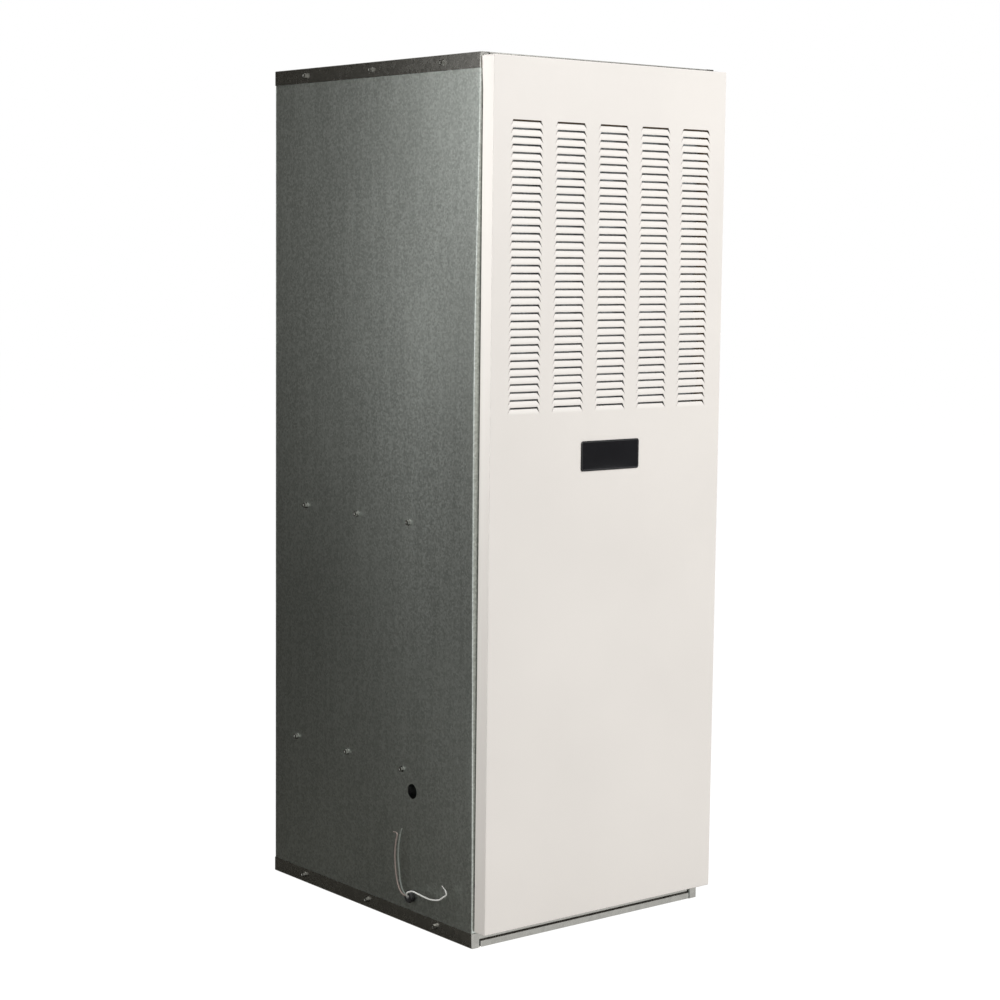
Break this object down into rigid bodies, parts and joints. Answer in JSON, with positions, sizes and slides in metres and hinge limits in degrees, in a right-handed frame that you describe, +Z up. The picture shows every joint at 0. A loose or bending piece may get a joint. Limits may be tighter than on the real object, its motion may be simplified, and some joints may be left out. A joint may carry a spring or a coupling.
{
  "type": "electric furnace",
  "caption": "Upright downflow electric furnace: galvanised sheet casing with a painted, louvred pull-off door over a blower, heating elements and control tray.",
  "frame": {"origin": "on the floor under the middle of the whole object, without the side bushing and its leads", "axes": "+Z up, -Y out of the door, +X to the right seen from the front"},
  "size_m": [0.5278, 0.6268, 1.453],
  "materials": {
    "galvanised_panels": "galvanised, fine spangle",
    "galvanised_rims": "galvanised, darker",
    "zinc_screws": "zinc plated",
    "foil_insulation": "foil faced",
    "inner_steel": "galvanised",
    "resistance_wire": "oxidised",
    "white_ceramic": "unglazed",
    "black_plastic": "satin",
    "handle_plastic": "satin",
    "ivory_plastic": "satin",
    "dark_steel": "satin enamel",
    "brass_lug": "plain",
    "cable_jacket": "satin",
    "capacitor_can": "plain",
    "spring_steel": "bright",
    "lead_grey_brown": "satin",
    "lead_grey_green": "satin",
    "lead_white": "satin",
    "door_paint": "off-white satin paint",
    "badge_black": "gloss",
    "filter_board": "plain",
    "filter_fleece": "pleated"
  },
  "bodies": {
    "cabinet": {"side_panel_left": "galvanised_panels", "side_panel_right": "galvanised_panels", "back_panel": "galvanised_panels", "base_pan": "galvanised_rims", "top_cap": "galvanised_rims", "sheet_screws": "zinc_screws", "liner_left": "foil_insulation", "liner_right": "foil_insulation", "liner_back": "foil_insulation", "deck": "inner_steel", "coil_rail_left": "inner_steel", "coil_rail_right": "inner_steel", "plenum_sill": "inner_steel", "plenum_panel": "inner_steel", "heater_box": "inner_steel", "element_1_rack": "inner_steel", "element_2_rack": "inner_steel", "element_3_rack": "inner_steel", "control_tray": "inner_steel", "control_cover": "inner_steel", "breaker_bracket": "inner_steel", "blower_housing": "inner_steel", "inlet_ring_left": "inner_steel", "inlet_ring_right": "inner_steel", "motor_band": "inner_steel", "capacitor_strap": "inner_steel", "element_1_coil": "resistance_wire", "element_2_coil": "resistance_wire", "element_3_coil": "resistance_wire", "element_insulators": "white_ceramic", "limit_discs": "black_plastic", "breaker_1_case": "black_plastic", "breaker_2_case": "black_plastic", "terminal_strip": "black_plastic", "tray_grommet": "black_plastic", "side_bushing": "black_plastic", "sequencers": "ivory_plastic", "fan_relay": "ivory_plastic", "cable_clips": "ivory_plastic", "transformer": "dark_steel", "motor": "dark_steel", "ground_lug": "brass_lug", "control_cable": "cable_jacket", "capacitor": "capacitor_can", "door_clips": "spring_steel", "lead_grey_brown": "lead_grey_brown", "lead_grey_green": "lead_grey_green", "lead_white": "lead_white"},
    "door": {"door_panel": "door_paint", "door_badge": "badge_black", "door_studs": "spring_steel", "filter_rails": "inner_steel"},
    "filter": {"filter_frame": "filter_board", "filter_media": "filter_fleece"},
    "bail": {"filter_bail": "spring_steel"},
    "blower_rotor": {"blower_wheel": "inner_steel", "wheel_blades": "inner_steel", "motor_shaft": "spring_steel"},
    "breaker_1": {"breaker_1_handle": "handle_plastic"},
    "breaker_2": {"breaker_2_handle": "handle_plastic"}
  },
  "joints": [
    {"name": "door_pull", "type": "slide", "parent": "cabinet", "child": "door", "axis": [0, -1, 0], "range_m": [0, 0.35]},
    {"name": "blower_spin", "type": "hinge", "parent": "cabinet", "child": "blower_rotor", "pos_m": [0, -0.00472, 1.056], "axis": [1, 0, 0], "continuous": true},
    {"name": "breaker_1_toggle", "type": "hinge", "parent": "cabinet", "child": "breaker_1", "pos_m": [-0.19, -0.2046, 0.798], "axis": [1, 0, 0], "range_deg": [0, 40]},
    {"name": "breaker_2_toggle", "type": "hinge", "parent": "cabinet", "child": "breaker_2", "pos_m": [-0.135, -0.2046, 0.798], "axis": [1, 0, 0], "range_deg": [0, 40]},
    {"name": "filter_lift", "type": "slide", "parent": "door", "child": "filter", "axis": [0, 0, 1], "range_m": [0, 0.07]},
    {"name": "bail_swing", "type": "hinge", "parent": "door", "child": "bail", "pos_m": [0.0038, -0.2823, 1.33065], "axis": [1, 0, 0], "range_deg": [0, 80]}
  ]
}
